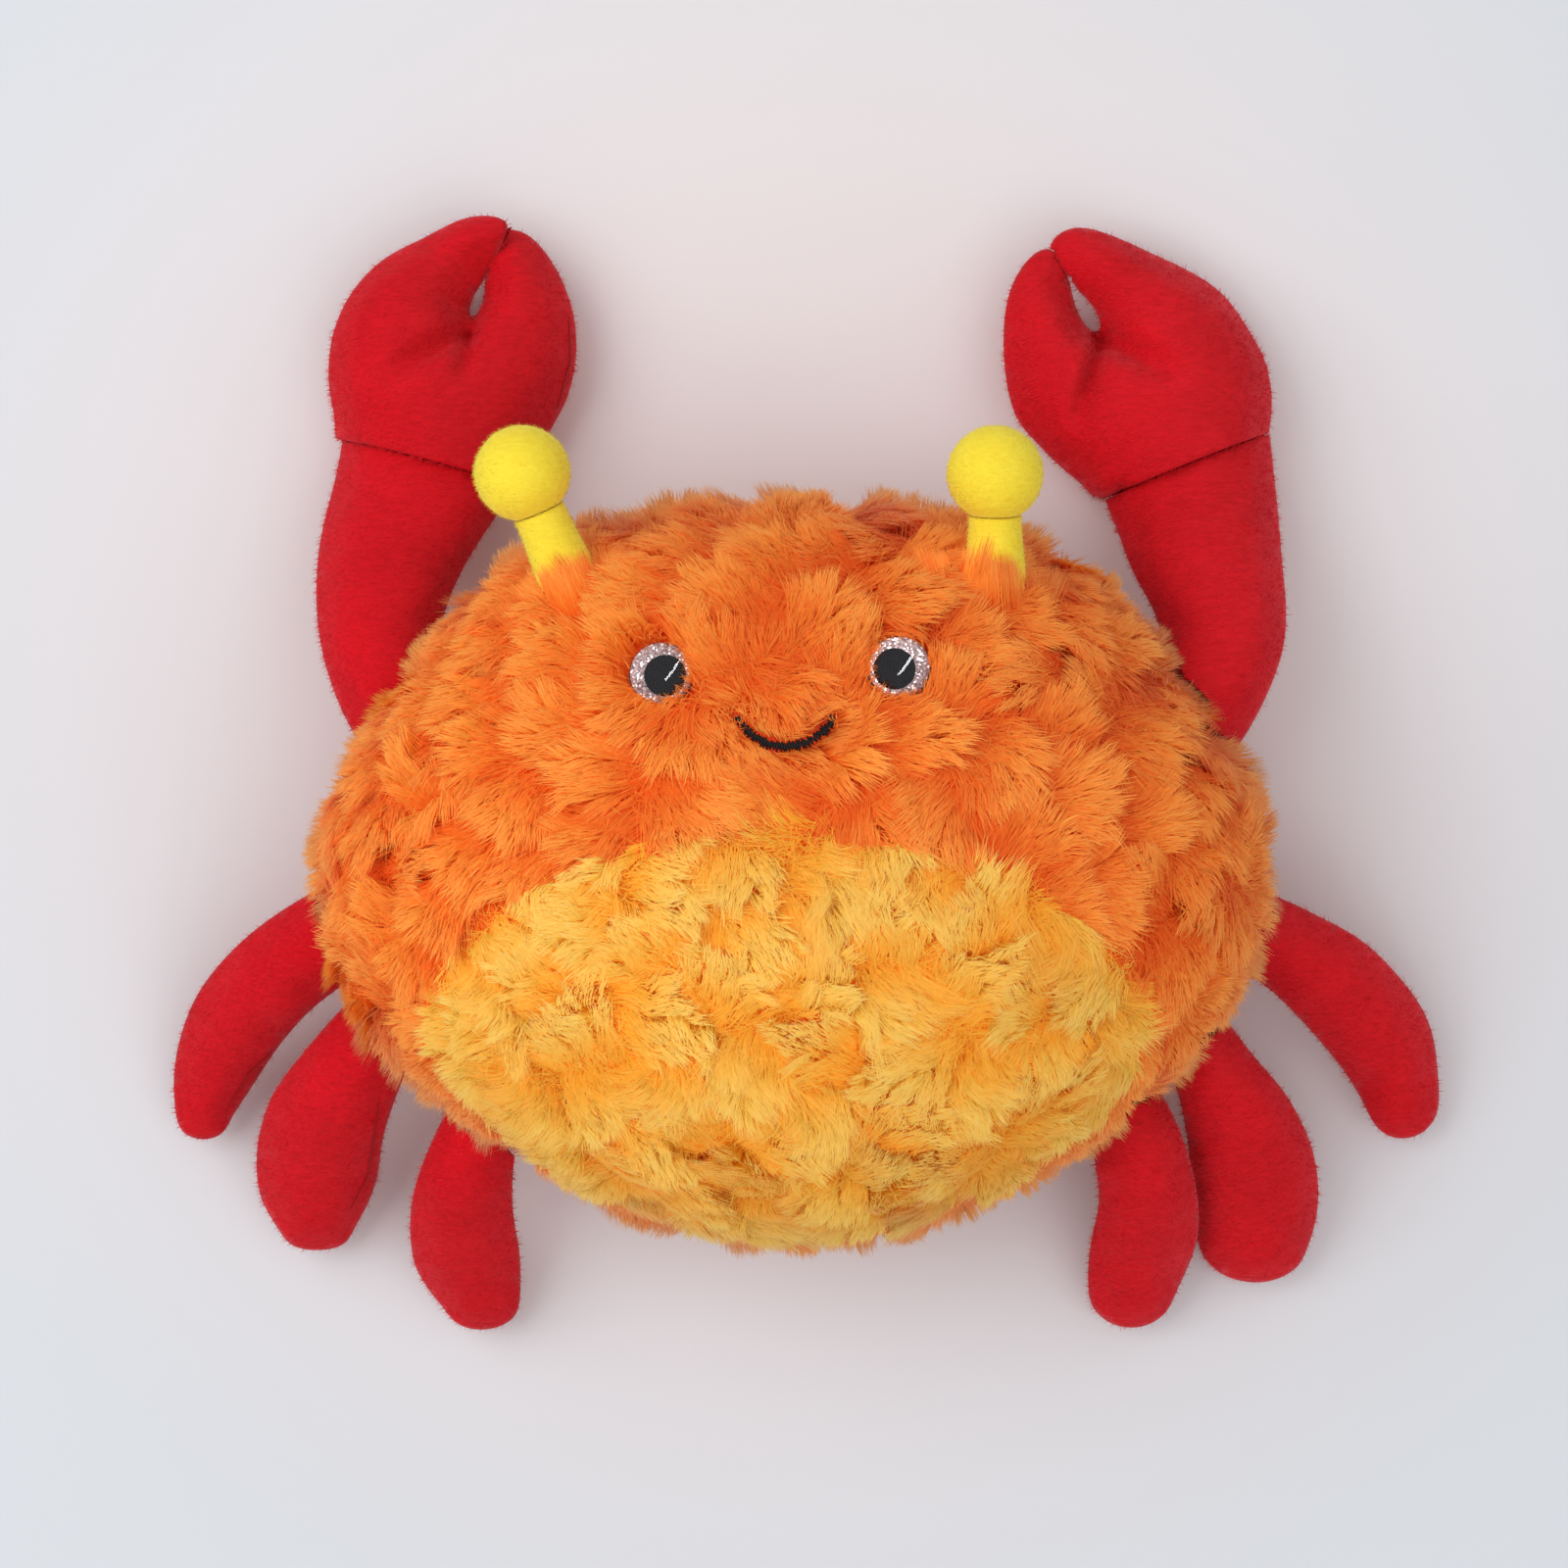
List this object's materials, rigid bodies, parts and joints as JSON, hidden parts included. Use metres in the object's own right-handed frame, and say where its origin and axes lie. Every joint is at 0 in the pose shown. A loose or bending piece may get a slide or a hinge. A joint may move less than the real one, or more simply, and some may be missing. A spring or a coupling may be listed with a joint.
{
  "type": "plush crab toy",
  "caption": "Stuffed crab toy with a puffed oval body of shaggy fur, a sewn-in tummy oval, flat-sewn arms with claws, legs, ball-tipped antennae, domed safety eyes and a stitched smile.",
  "frame": {"origin": "middle of the toy's whole box, at the surface it lies on", "axes": "+Z out of the face, +Y to the top of the head, +X to the right as seen when looking at the face"},
  "size_m": [0.2684, 0.235, 0.1046],
  "materials": {
    "orange_fur": "matt, long shaggy pile",
    "yellow_fur": "matt, long shaggy pile",
    "red_short_pile": "matt short pile with a soft sheen",
    "lemon_short_pile": "matt short pile",
    "white_fibre": "loose fibre",
    "black_thread": "satin-stitched thread",
    "black_plastic": "gloss",
    "clear_plastic": "clear gloss",
    "silver_glitter": "sparkling glitter film"
  },
  "bodies": {
    "root": {"antenna_ball_left": "lemon_short_pile", "antenna_ball_right": "lemon_short_pile", "antenna_stalk_left": "lemon_short_pile", "antenna_stalk_right": "lemon_short_pile", "arm_left": "red_short_pile", "arm_right": "red_short_pile", "back_panel": "orange_fur", "belly_panel": "yellow_fur", "body_filling": "white_fibre", "claw_left": "red_short_pile", "claw_right": "red_short_pile", "eye_dome_left": "clear_plastic", "eye_dome_right": "clear_plastic", "eye_glitter_left": "silver_glitter", "eye_glitter_right": "silver_glitter", "eye_pupil_left": "black_plastic", "eye_pupil_right": "black_plastic", "eye_washer_left": "black_plastic", "eye_washer_right": "black_plastic", "face_panel": "orange_fur", "leg_left_lower": "red_short_pile", "leg_left_middle": "red_short_pile", "leg_left_upper": "red_short_pile", "leg_right_lower": "red_short_pile", "leg_right_middle": "red_short_pile", "leg_right_upper": "red_short_pile", "mouth_stitch": "black_thread"}
  },
  "joints": []
}
